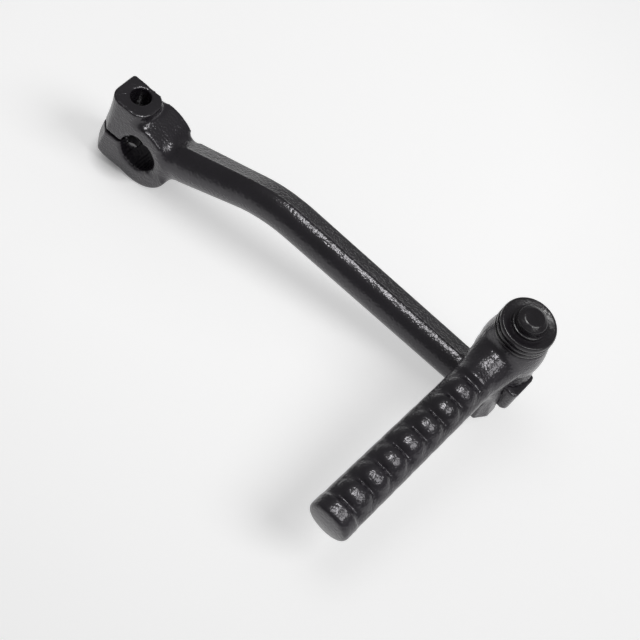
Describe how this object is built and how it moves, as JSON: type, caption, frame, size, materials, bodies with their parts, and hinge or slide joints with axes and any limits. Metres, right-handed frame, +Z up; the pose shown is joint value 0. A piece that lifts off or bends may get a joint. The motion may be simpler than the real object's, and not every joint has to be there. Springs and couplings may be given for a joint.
{
  "type": "kick start lever",
  "caption": "Forged kick start lever with a split serrated clamp, a bent round arm and a ribbed foot pedal that folds on a leaning pin.",
  "frame": {"origin": "centre of the serrated clamp bore, at mid width", "axes": "+Y along the kick shaft's axis towards the engine, +X along the arm to the pedal pivot, +Z up"},
  "size_m": [0.2118, 0.1125, 0.0611],
  "materials": {
    "black_paint": "semi-gloss black paint over a forged skin",
    "black_hardware": "glossy black"
  },
  "bodies": {
    "lever": {"lever_arm": "black_paint", "pivot_pin": "black_hardware", "retaining_washer": "black_hardware", "spring_washer": "black_hardware", "retaining_ring": "black_hardware"},
    "pedal": {"foot_pedal": "black_paint"}
  },
  "joints": [
    {"name": "pedal_fold", "type": "hinge", "parent": "lever", "child": "pedal", "pos_m": [0.17175, 0, 0.01302], "axis": [0.2723, 0, 0.9622], "range_deg": [-80, 0]}
  ]
}
